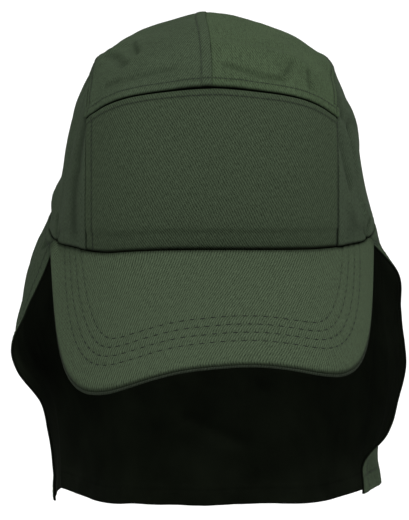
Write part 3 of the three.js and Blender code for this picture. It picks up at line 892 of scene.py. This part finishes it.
@dataclass(frozen=True)
class CottonDrill:
    """Piece-dyed cotton drill: a matt cloth with steep diagonal ribs and a little fuzz.

    The real ribs lie about 0.6 mm apart, too fine to show in the picture, so they are drawn at the
    spacing at which they show there. Ribs, slubs, fuzz and streaks are shares of the colour.
    """

    name: str
    colour: str
    rib: float = 0.45
    rib_pitch: float = 1.2 * MM
    rib_turn: float = math.radians(28)
    dash_pitch: float = 1.7 * MM
    fuzz: float = 1.1
    streak: float = 0.0
    wear: float = 0.1
    roughness: float = 0.95
    sheen: float = 0.02
    bump: float = 0.08 * MM
    dash_way: tuple[float, float] = (0.35, -1.0)
    wander_grain: tuple[float, float] = (9 * MM, 9 * MM)
    fuzz_grain: tuple[float, float] = (0.8 * MM, 1.5 * MM)
    slub_grain: tuple[float, float] = (2.4 * MM, 3.5 * MM)
    streak_grain: tuple[float, float] = (0.7 * MM, 14 * MM)
    patch_grain: tuple[float, float] = (26 * MM, 26 * MM)
    darkest: float = 0.04
    sheen_colour: str = "5f7a4e"

    def make(self) -> bpy.types.Material:
        """Build the material.

        Returns:
            The material.
        """
        material = blank_material(self.name)
        uv = add_node(material, "ShaderNodeUVMap", {"uv_map": CLOTH_UV}).outputs["UV"]
        wander = self.noise(material, uv, self.wander_grain, 2.0)
        across_ribs = (math.cos(self.rib_turn), math.sin(self.rib_turn))
        rib = self.wave(material, uv, wander, across_ribs, self.rib_pitch)
        dash = self.wave(material, uv, wander, self.dash_way, self.dash_pitch)
        woven = add_node(material, "ShaderNodeMath", {"operation": "MULTIPLY"}, {0: rib, 1: dash}).outputs[0]
        ribs = self.added(material, 0.0, (rib, self.rib * 0.75), (woven, self.rib * 0.4))
        fuzz = self.noise(material, uv, self.fuzz_grain, 2.0)
        slub = self.noise(material, uv, self.slub_grain, 1.0)
        streak = self.noise(material, uv, self.streak_grain, 1.0)
        patchy = self.noise(material, uv, self.patch_grain, 3.0)
        weave = self.added(
            material, 1.0, (fuzz, self.fuzz), (slub, 0.3 * self.fuzz), (streak, self.streak), (ribs, 1.0))
        tone = self.added(material, 0.0, (weave, 1.0), (patchy, self.wear))
        # Painted shade: the seam_shade attribute darkens the colour in seams, folds, along stitch rows and at cut
        # edges.
        seam = add_node(material, "ShaderNodeAttribute", {"attribute_name": SEAM_SHADE}).outputs["Fac"]
        shading = {"Value": seam, "To Min": 1.0, "To Max": self.darkest}
        left = add_node(material, "ShaderNodeMapRange", inputs=shading).outputs[0]
        lit = add_node(material, "ShaderNodeMath", {"operation": "MULTIPLY"}, {0: tone, 1: left}).outputs[0]
        dyed_and_shaded = add_node(
            material, "ShaderNodeVectorMath", {"operation": "SCALE"}, {0: linear(self.colour)[:3], "Scale": lit})
        relief = add_node(
            material, "ShaderNodeBump", inputs={"Height": weave, "Strength": 0.5, "Distance": self.bump})
        return surfaced(
            material,
            {"Base Color": dyed_and_shaded.outputs[0], "Normal": relief.outputs[0], "Roughness": self.roughness,
             "Sheen Weight": self.sheen, "Sheen Roughness": 0.6, "Sheen Tint": linear(self.sheen_colour),
             "Specular IOR Level": 0.02})

    @staticmethod
    def noise(
        material: bpy.types.Material, uv: bpy.types.NodeSocket, grain: tuple[float, float], detail: float
    ) -> bpy.types.NodeSocket:
        """Draw noise about 0, with grains as wide and as long as given, in metres."""
        scale = (1 / grain[0], 1 / grain[1], 1)
        sized = add_node(material, "ShaderNodeVectorMath", {"operation": "MULTIPLY"}, {0: uv, 1: scale})
        cloud = add_node(
            material, "ShaderNodeTexNoise", inputs={"Vector": sized.outputs[0], "Scale": 1.0, "Detail": detail})
        return add_node(
            material, "ShaderNodeMath", {"operation": "SUBTRACT"}, {0: cloud.outputs["Fac"], 1: 0.5}).outputs[0]

    @staticmethod
    def added(
        material: bpy.types.Material, start: float, *parts: tuple[bpy.types.NodeSocket, float]
    ) -> bpy.types.NodeSocket:
        """Add sockets up, each times its share."""
        total: bpy.types.NodeSocket | float = start
        for socket, share in parts:
            inputs = {0: socket, 1: share, 2: total}
            total = add_node(material, "ShaderNodeMath", {"operation": "MULTIPLY_ADD"}, inputs).outputs[0]
        return total

    @staticmethod
    def wave(
        material: bpy.types.Material,
        uv: bpy.types.NodeSocket,
        wander: bpy.types.NodeSocket,
        way: tuple[float, float],
        pitch: float,
    ) -> bpy.types.NodeSocket:
        """Draw even ribs across a direction, a little wandering.

        Args:
            material: Whose tree it goes into.
            uv: The cloth's own coordinates, in metres.
            wander: Noise that shifts the ribs.
            way: The direction across them.
            pitch: Their spacing in metres.

        Returns:
            A socket from -1 to 1.
        """
        turns = 2 * math.pi / pitch
        across = (way[0] * turns, way[1] * turns, 0)
        phase = add_node(material, "ShaderNodeVectorMath", {"operation": "DOT_PRODUCT"}, {0: uv, 1: across})
        inputs = {0: wander, 1: 7.0, 2: phase.outputs["Value"]}
        moved = add_node(material, "ShaderNodeMath", {"operation": "MULTIPLY_ADD"}, inputs)
        return add_node(material, "ShaderNodeMath", {"operation": "SINE"}, {0: moved.outputs[0]}).outputs[0]


@dataclass(frozen=True)
class SewingThread:
    """Spun polyester thread, a shade darker than the cloth, slightly shiny."""

    name: str = "spun_polyester_thread"
    colour: str = "161d15"
    shadow: str = "0c110b"

    def make(self) -> bpy.types.Material:
        """Build the material.

        Returns:
            The material.
        """
        material = blank_material(self.name)
        place = add_node(material, "ShaderNodeTexCoord").outputs["Object"]
        twist = add_node(material, "ShaderNodeTexNoise", inputs={"Vector": place, "Scale": 1 / (0.4 * MM)})
        tone = add_node(
            material, "ShaderNodeMix", {"data_type": "RGBA"},
            {"A": linear(self.shadow), "B": linear(self.colour), "Factor": twist.outputs["Fac"]})
        finish = {"Base Color": tone.outputs["Result"], "Roughness": 0.7, "Specular IOR Level": 0.25}
        return surfaced(material, finish)


# Sub-assemblies


@dataclass
class Wardrobe:
    """The cap's finishes, made once. The front, top, side, peak and flap finishes are one drill in tones that
    differ piece by piece as painted light and shade; the inside finish is near-black painted shade.
    """

    front: bpy.types.Material
    top_left: bpy.types.Material
    top_right: bpy.types.Material
    side: bpy.types.Material
    peak: bpy.types.Material
    under: bpy.types.Material
    flap: bpy.types.Material
    inside: bpy.types.Material
    band: bpy.types.Material
    thread: bpy.types.Material

    @classmethod
    def hang(cls) -> "Wardrobe":
        """Make every finish."""
        return cls(
            # Painted light and shade: these pieces are one drill, each given a lighter or darker tone for how the
            # light falls on it.
            front=CottonDrill("front_drill_painted_light_and_shade", "353f30").make(),
            # The top left panel's streaks are partly the weave and partly a painted highlight: the weave's glint
            # where the light strikes it.
            top_left=CottonDrill("top_left_drill_painted_light_and_shade", "3d4a36", rib=0.3, streak=0.5, wear=0.35).make(),
            top_right=CottonDrill("top_right_drill_painted_light_and_shade", "3a4535", rib=0.35, wear=0.35).make(),
            side=CottonDrill("side_drill_painted_light_and_shade", "384234", rib=0.35, wear=0.3).make(),
            peak=CottonDrill("peak_drill_painted_light_and_shade", "3e4938", rib_turn=-math.radians(28)).make(),
            # The under cover's darker tone is painted shade, for the shade beneath the peak.
            under=CottonDrill("peak_under_drill_painted_shade", "2b3128").make(),
            flap=CottonDrill("flap_drill_painted_light_and_shade", "353f31", rib=0.35, wear=0.2).make(),
            # The inside finish is near-black painted shade: the cloth's inner faces stand as if in shadow.
            inside=CottonDrill("inside_drill_painted_shade", "12160f", sheen=0.0, rib=0.1, fuzz=0.5, wear=1.2).make(),
            band=CottonDrill("band_cotton_twill", "15180f", rib_pitch=1.4 * MM).make(),
            thread=SewingThread().make(),
        )


def dress(piece: bpy.types.Object, slot: str, node: str | None, *materials: bpy.types.Material) -> None:
    """Give a piece its finish, its body and the node that it stands for.

    Args:
        piece: The piece.
        slot: The record's material slot; not used.
        node: The node that it replaces, if any.
        materials: Its materials, outside first.
    """
    for material in materials:
        piece.data.materials.append(material)
    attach(piece, ROOT)
    if node:
        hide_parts(node)
    log.info("%s: %d faces", piece.name, len(piece.data.polygons))


@dataclass
class Needlework:
    """Rows of stitches, gathered into one piece."""

    name: str
    slot: str
    stitching: Stitching = Stitching()
    piece: bmesh.types.BMesh = field(default_factory=bmesh.new)

    def follow(self, cloth: Cloth, proud: float = 0.05 * MM) -> None:
        """Sew every row of a cloth's seams."""
        for edge, seam in cloth.seams.items():
            for row in seam.rows:
                self.stitching.sew(self.piece, *cloth.laid.row(edge, row, proud))

    def finish(self, wardrobe: Wardrobe) -> None:
        """Make the piece and dress it."""
        dress(finished(self.name, self.piece), self.slot, None, wardrobe.thread)


# The tacks at the peak's ends, and how far each pucker runs from them: outwards, back and up, in mm.
TACKS = {Hand.RIGHT: (-83, -36, -4), Hand.LEFT: (83, -36, -3)}
CROWN_PUCKERS = ((-7, -7, 9), (-1, 6, 12))
FLAP_PUCKERS = ((4, 8, -14), (6, 15, -7), (1, 3, -20))


def puckers(hand: Hand, runs: Sequence[tuple[float, float, float]]) -> tuple[Fold, ...]:
    """Return the small folds that gather at the tack on one side."""
    x, y, z = TACKS[hand]
    sign = math.copysign(1, x)
    return tuple(
        Fold(((x, y, z), (x + sign * out, y + back, z + up)), 1.8 * MM, -1.0 * MM, 0.4) for out, back, up in runs
    )


# The dents and folds that the crown and the flap show, in mm in the cap's own frame.
TOP_RIGHT_FOLDS = (
    Fold(((-54, -18, 91), (-50, -30, 92), (-46, -46, 91)), 3.2 * MM, -1.8 * MM, 0.25),
    Fold(((-44, 4, 99), (-43, -20, 98), (-40, -40, 96)), 2.6 * MM, -2.3 * MM, 0.3),
    Fold(((-53, -12, 93), (-48, -8, 97)), 4.5 * MM, 1.9 * MM),
    Fold(((-55, -52, 81), (-46, -59, 85), (-36, -63, 88), (-21, -66, 92)), 2.4 * MM, -1.1 * MM, 0.2),
)
TOP_LEFT_FOLDS = (
    Fold(((7, -66, 94), (16, -68, 92), (25, -68, 89), (36, -65, 87)), 1.7 * MM, -1.5 * MM, 0.32),
    Fold(((36, -65, 87), (41, -50, 92)), 1.8 * MM, -1.1 * MM, 0.25),
    Fold(((50, -48, 87), (51, -59, 81)), 1.8 * MM, -1.6 * MM, 0.4),
    Fold(((5, -55, 101), (25, -52, 97), (45, -45, 91)), 6.0 * MM, 2.3 * MM),
)
SIDE_LEFT_FOLDS = (
    Fold(((63, -24, 79), (66, -36, 73), (67, -46, 66)), 3.6 * MM, -2.8 * MM, 0.4),
    Fold(((64.5, -54, 71), (69, -41, 65), (74, -25, 58)), 3.0 * MM, 1.4 * MM),
    Fold(((65, -57, 65), (66, -61, 54), (69, -61, 44), (71, -58, 30)), 3.2 * MM, -2.4 * MM, 0.35),
    Fold(((71, -40, 56), (73, -40, 45), (76, -40, 35)), 4.0 * MM, -3.0 * MM, 0.3),
    Fold(((68, -52, 55), (71, -50, 41), (75, -46, 22)), 2.0 * MM, 1.6 * MM),
    Fold(((74, -66, 18), (76, -56, 9)), 4.0 * MM, -0.4 * MM, 0.35),
    Fold(((79, -38, 17), (82, -30, 7)), 3.5 * MM, 1.8 * MM),
    Fold(((72, -62, 8), (82, -38, 2)), 4.5 * MM, -0.5 * MM, 0.2),
    *puckers(Hand.LEFT, CROWN_PUCKERS),
)
SIDE_RIGHT_FOLDS = (
    Fold(((-66, -55, 66), (-70, -60, 40)), 4.5 * MM, -1.2 * MM, 0.4),
    Fold(((-70, -60, 40), (-72, -62, 8)), 4.5 * MM, -0.6 * MM, 0.4),
    Fold(((-69, -19, 70), (-66, -5, 79)), 3.4 * MM, -1.8 * MM, 0.4),
    *puckers(Hand.RIGHT, CROWN_PUCKERS),
)
FLAP_FOLDS = (
    Fold(((-28, 97, -118), (-16, 97, -141)), 5 * MM, -1.2 * MM),
    Fold(((-14, 97, -141), (16, 97, -155)), 5 * MM, -1.2 * MM),
    Fold(((29, 97, -124), (56, 86, -144), (66, 76, -177)), 5 * MM, -1.6 * MM),
    *puckers(Hand.RIGHT, FLAP_PUCKERS),
    *puckers(Hand.LEFT, FLAP_PUCKERS),
)


@dataclass
class Crown:
    """The five sewn panels."""

    form: CrownForm
    side_row: float = 3.6 * MM
    front_side_row: float = 6.4 * MM
    bare_side_row: float = 1.6 * MM
    lip_row: float = 5.0 * MM
    front_row: float = 5.6 * MM
    centre_row: float = 5.4 * MM
    band_height: float = 12 * MM
    ledge: float = 0.7 * MM

    def cloths(self) -> list[Cloth]:
        """Describe the panels.

        Returns:
            The five cloths.
        """
        side = Seam(rows=(self.side_row,), roll=0.9 * MM, shade=0.9)
        front_side = Seam(rows=(self.front_side_row,), allowance=7 * MM, roll=0.9 * MM, shade=0.9)
        bare_side = Seam(roll=1.1 * MM, pad=0.2 * MM, rows=(self.bare_side_row,), shade=0.9)
        plain = Seam(sink=0.6 * MM, roll=0.8 * MM, shade=0.6)
        centre = Seam(sink=0.3 * MM, roll=0.8 * MM, pad=0.1 * MM, shade=0.1)
        felled = Seam(
            sink=0.2 * MM, roll=0.8 * MM, pad=0.5 * MM, rows=(self.centre_row,), shade=0.1, row_shade=0.2)
        lip = Seam(
            sink=1.3 * MM, roll=0.9 * MM, pad=1.0 * MM, allowance=6.6 * MM, rows=(self.lip_row,), gape=0.9,
            pucker=0.2 * MM, shade=0.97)
        lapped = Seam(sink=2.0 * MM, roll=1.1 * MM, pad=0.1 * MM, rows=(self.front_row,), gape=1.1, shade=0.97)
        foot = Seam(sink=0.5 * MM, roll=1.6 * MM, pad=0.0, shade=0.7)
        front_foot = Seam(sink=0.7 * MM, roll=2.2 * MM, pad=0.0, shade=0.9)
        panels = [
            Cloth(
                "front_panel_cloth", self.form.front_panel, (150, 110), self.form.cloth,
                {Edge.LEFT: front_side, Edge.RIGHT: bare_side, Edge.TOP: lapped, Edge.BOTTOM: front_foot},
                wrinkle=0.12 * MM, grain=(26 * MM, 26 * MM, 26 * MM), shape=self.band_step,
            )
        ]
        for sign, name, middle, top_folds, side_folds in (
            (1, "left", centre, TOP_LEFT_FOLDS, SIDE_LEFT_FOLDS),
            (-1, "right", felled, TOP_RIGHT_FOLDS, SIDE_RIGHT_FOLDS),
        ):
            panels.append(
                Cloth(
                    f"top_panel_{name}_cloth", lambda u, v, s=sign: self.form.top_panel(s, u, v), (84, 230),
                    self.form.cloth, {Edge.LEFT: middle, Edge.RIGHT: side, Edge.BOTTOM: lip, Edge.TOP: foot},
                    wrinkle=0.45 * MM, grain=(15 * MM, 12 * MM, 12 * MM), seed=20.0 + sign, folds=top_folds,
                )
            )
            panels.append(
                Cloth(
                    f"side_panel_{name}_cloth", lambda u, v, s=sign: self.form.side_panel(s, u, v), (150, 100),
                    self.form.cloth, {Edge.LEFT: plain, Edge.RIGHT: plain, Edge.TOP: plain, Edge.BOTTOM: foot},
                    wrinkle=0.5 * MM, grain=(12 * MM, 12 * MM, 40 * MM), seed=40.0 + sign, folds=side_folds,
                )
            )
        return panels

    def band_step(self, laid: Laid) -> np.ndarray:
        """Return the soft ledge where the front panel is pulled in to the band behind it."""
        height = laid.distance[Edge.BOTTOM]
        return -self.ledge * (1 - smooth_step(height, self.band_height - 4 * MM, self.band_height))

    def build(self, wardrobe: Wardrobe) -> None:
        """Build, dress and sew the panels.

        Args:
            wardrobe: The finishes.
        """
        finishes = (wardrobe.front, wardrobe.top_left, wardrobe.side, wardrobe.top_right, wardrobe.side)
        stitches = Needlework("crown_stitches", "crown_drill")
        for cloth, finish in zip(self.cloths(), finishes):
            node = cloth.name.removesuffix("_cloth")
            dress(cloth.build(), "crown_drill", node, finish, wardrobe.inside)
            stitches.follow(cloth)
        stitches.finish(wardrobe)


@dataclass
class Peak:
    """The peak's two covers, with the rows of stitching that hold them to the core."""

    form: PeakForm
    top_cover: float = 1.4 * MM
    under_cover: float = 0.8 * MM
    cover_gap: float = 0.4 * MM
    first_row: float = 11.8 * MM
    row_spacing: float = 4.9 * MM
    row_count: int = 4

    @property
    def rows(self) -> tuple[float, ...]:
        """How far each row of stitching lies from the front edge."""
        return tuple(self.first_row + k * self.row_spacing for k in range(self.row_count))

    def under(self, u: np.ndarray, v: np.ndarray) -> tuple[np.ndarray, np.ndarray]:
        """Lay the under cover's upper face."""
        point, outward = self.form.at(u, v)
        return point - outward * (self.top_cover + self.cover_gap), outward

    def build(self, wardrobe: Wardrobe) -> None:
        """Build and dress both covers, and stitch the top one.

        Args:
            wardrobe: The finishes.
        """
        edge = Seam(
            sink=0.5 * MM, roll=1.0 * MM, pad=0.0, rows=self.rows, dent=0.25 * MM, pucker=0.0, shade=0.1,
            row_shade=0.12)
        join = Seam(sink=0.0, roll=2.6 * MM, pad=0.0, pucker=0.0, shade=0.6)
        top = Cloth(
            "peak_top_cloth", self.form.at, (260, 110), self.top_cover, {Edge.TOP: edge, Edge.BOTTOM: join},
            wrinkle=0.1 * MM, grain=(30 * MM,) * 3, seed=60.0, bunching=0.35, round_edge=Edge.TOP,
        )
        dress(top.build(), "peak_drill", "peak_top", wardrobe.peak, wardrobe.inside)
        stitches = Needlework("peak_stitches", "peak_drill", Stitching(3.0 * MM, 5.2 * MM, 0.7 * MM, 0.55))
        stitches.follow(top)
        stitches.finish(wardrobe)
        rim = Seam(sink=0.2 * MM, roll=0.6 * MM, pad=0.0, shade=0.0)
        under = Cloth(
            "peak_under_cloth", self.under, (200, 40), self.under_cover, {Edge.TOP: rim},
            wrinkle=0.1 * MM, grain=(30 * MM,) * 3, seed=70.0, edge_shade=0.3,
        )
        dress(under.build(), "peak_under_drill", "peak_under", wardrobe.under, wardrobe.under)


@dataclass
class NeckFlap:
    """The hanging curtain of cloth, hemmed all round, with a dense tack at the top of each front edge."""

    form: FlapForm
    hem: float = 11 * MM
    side_hem: float = 7 * MM
    cut: tuple[float, float] = (0.41, 0.193)
    tack: Stitching = Stitching(2.0 * MM, 0.7 * MM, 0.7 * MM)
    tack_inset: float = 2.2 * MM
    tack_length: float = 9 * MM

    def build(self, wardrobe: Wardrobe, hangs_from: list[str]) -> None:
        """Build, dress and hem the flap.

        Args:
            wardrobe: The finishes.
            hangs_from: The names of the pieces whose rim it is sewn to; not used.
        """
        hem, side_hem = (
            Seam(sink=0.2 * MM, roll=0.8 * MM, pad=0.4 * MM, allowance=wide, rows=(row,), shade=0.3)
            for wide, row in ((self.hem, self.hem * 0.9), (self.side_hem, self.side_hem - 1 * MM))
        )
        sewn = Seam(sink=0.8 * MM, roll=1.2 * MM, pad=0.3 * MM, allowance=6 * MM, rows=(5 * MM,), shade=0.7)
        cloth = Cloth(
            "neck_flap_cloth", self.form.at, (300, 130), self.form.cloth,
            {Edge.TOP: hem, Edge.BOTTOM: sewn, Edge.LEFT: side_hem, Edge.RIGHT: side_hem},
            wrinkle=1.3 * MM, grain=(18 * MM, 18 * MM, 60 * MM), seed=80.0, folds=FLAP_FOLDS, bunching=0.3,
            painted_shade_edges=True,
        )
        piece = cloth.build()
        dress(piece, "flap_drill", "neck_flap", wardrobe.flap, wardrobe.inside)
        stitches = Needlework("flap_stitches", "flap_drill")
        stitches.follow(cloth)
        for edge in (Edge.LEFT, Edge.RIGHT):
            points, ways = cloth.laid.row(edge, self.tack_inset, 0.05 * MM)
            run = np.linalg.norm(points - points[0], axis=-1)
            self.tack.sew(stitches.piece, points[run < self.tack_length], ways[run < self.tack_length])
        stitches.finish(wardrobe)
        log.info("flap: %.4f x %.4f m, %.5f m2", *self.spread(cloth.laid), self.area(cloth.laid))

    @staticmethod
    def spread(laid: Laid) -> tuple[float, float]:
        """Return how long the cloth is along its hem and how deep it is at its deepest."""
        return float(laid.distance[Edge.LEFT][-1, -1]), float(laid.distance[Edge.BOTTOM][-1].max())

    @staticmethod
    def area(laid: Laid) -> float:
        """Return the cloth's flat area, from its laid length and width."""
        across = np.diff(laid.distance[Edge.LEFT], axis=1)[:-1]
        along = np.diff(laid.distance[Edge.BOTTOM], axis=0)[:, :-1]
        return float((across * along).sum())


@dataclass
class InsideBand:
    """The twill band inside the rim."""

    crown: CrownForm
    height: float = 28 * MM
    below_rim: float = 3 * MM
    gap: float = 0.8 * MM
    cloth: float = 1.6 * MM

    def at(self, u: np.ndarray, v: np.ndarray) -> tuple[np.ndarray, np.ndarray]:
        """Lay the band's outer face: u round from the back, v up."""
        angle = (2 * u - 1) * math.pi
        height = v * self.height - self.below_rim
        high = np.maximum(0, height) / self.crown.height
        flat = self.crown.rim(angle)
        flat = flat / self.crown.rounded_length(flat)[..., None] * self.crown.rest(high)[..., None]
        flat[..., 2] = high
        point, outward = self.crown.at(flat)
        point = point - outward * (self.crown.cloth + self.gap)
        point[..., 2] += np.minimum(0, height)
        return point, outward

    def build(self, wardrobe: Wardrobe) -> None:
        """Build, dress and stitch the band.

        Args:
            wardrobe: The finishes.
        """
        fold = Seam(sink=0.3 * MM, roll=0.7 * MM, pad=0.0)
        cloth = Cloth(
            "inside_band_cloth", self.at, (360, 24), self.cloth, {Edge.TOP: fold, Edge.BOTTOM: fold},
            wrinkle=0.15 * MM, grain=(12 * MM,) * 3, seed=90.0, bunching=0.0,
        )
        dress(cloth.build(), "band_twill", "inside_band", wardrobe.band, wardrobe.band)
        points, ways = cloth.laid.row(Edge.TOP, 3 * MM, 0.0)
        stitches = Needlework("band_stitches", "band_twill")
        stitches.stitching.sew(stitches.piece, points - ways * (self.cloth + 0.05 * MM), -ways)
        stitches.finish(wardrobe)


@dataclass(frozen=True)
class SoftLight:
    """A wide studio light, so far off that the floor behind the cap gets as much of it."""

    name: str
    azimuth: float
    elevation: float
    spread: float
    strength: float

    @property
    def way(self) -> Vector:
        """The direction that it shines in."""
        level = math.cos(self.elevation)
        x, y = math.sin(self.azimuth) * level, -math.cos(self.azimuth) * level
        return -Vector((x, y, math.sin(self.elevation)))

    def hang(self) -> None:
        """Put the light into the scene."""
        lamp = bpy.data.lights.new(self.name, "SUN")
        lamp.angle = self.spread
        lamp.energy = self.strength
        holder = bpy.data.objects.new(self.name, lamp)
        holder.location = self.way * -3.0
        holder.rotation_euler = self.way.to_track_quat("-Z", "Y").to_euler()
        bpy.context.scene.collection.objects.link(holder)


@dataclass(frozen=True)
class Studio:
    """A pale floor, soft lights and the camera in front of the cap and a little above it."""

    distance: float = 1.4
    elevation: float = math.radians(12)
    metres_per_pixel: float = 0.54 * MM
    origin_pixel: tuple[float, float] = (212, 219)
    floor_level: float = -0.55
    floor_reach: float = 14.0
    sensor: float = 36.0
    lights: tuple[SoftLight, ...] = (
        SoftLight("key", math.radians(22), math.radians(58), math.radians(26), 2.8),
        SoftLight("fill", math.radians(-55), math.radians(45), math.radians(60), 0.5),
        SoftLight("back", math.radians(170), math.radians(45), math.radians(60), 0.9),
    )
    sky: float = 0.16

    def build(self) -> None:
        """Set up the floor, the lights and the camera."""
        mesh_maker = bmesh.new()
        bmesh.ops.create_grid(mesh_maker, x_segments=1, y_segments=1, size=self.floor_reach)
        bmesh.ops.translate(mesh_maker, verts=mesh_maker.verts[:], vec=(0, 0, self.floor_level))
        floor = finished("floor", mesh_maker)
        floor.data.materials.append(self.floor_paint())
        world = bpy.data.worlds.new("studio")
        world.use_nodes = True
        world.node_tree.nodes["Background"].inputs["Color"].default_value = (1, 1, 1, 1)
        world.node_tree.nodes["Background"].inputs["Strength"].default_value = self.sky
        bpy.context.scene.world = world
        for light in self.lights:
            light.hang()
        self.camera()
        bpy.context.scene.view_settings.view_transform = "Standard"

    @staticmethod
    def floor_paint() -> bpy.types.Material:
        """Build the floor's matt white paint."""
        finish = {"Base Color": linear("fbfbfb"), "Roughness": 0.95, "Specular IOR Level": 0.1}
        return surfaced(blank_material("matt_white_paint"), finish)

    def camera(self) -> None:
        """Place the camera so that the cap's origin falls on its pixel."""
        lens = bpy.data.cameras.new("camera")
        lens.sensor_fit = "HORIZONTAL"
        lens.sensor_width = self.sensor
        lens.lens = self.sensor * self.distance / (self.metres_per_pixel * IMAGE_SIZE[0])
        back = Vector((0, -math.cos(self.elevation), math.sin(self.elevation)))
        up = Vector((0, math.sin(self.elevation), math.cos(self.elevation)))
        aside = (IMAGE_SIZE[0] / 2 - self.origin_pixel[0]) * self.metres_per_pixel
        above = (self.origin_pixel[1] - IMAGE_SIZE[1] / 2) * self.metres_per_pixel
        target = Vector((aside, 0, 0)) + up * above
        eye = bpy.data.objects.new("camera", lens)
        eye.location = back * self.distance
        eye.rotation_euler = (target - eye.location).to_track_quat("-Z", "Y").to_euler()
        bpy.context.scene.collection.objects.link(eye)
        bpy.context.scene.camera = eye


def main() -> None:
    """Build the cap and its studio."""
    logging.basicConfig(level=logging.INFO, format="%(name)s: %(message)s")
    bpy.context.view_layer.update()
    Studio().build()
    wardrobe = Wardrobe.hang()
    crown = CrownForm()
    peak = PeakForm(crown)
    Crown(crown).build(wardrobe)
    Peak(peak).build(wardrobe)
    NeckFlap(FlapForm(crown, peak)).build(wardrobe, ["side_panel_left_cloth", "side_panel_right_cloth"])
    InsideBand(crown).build(wardrobe)


if __name__ == "__main__":
    main()
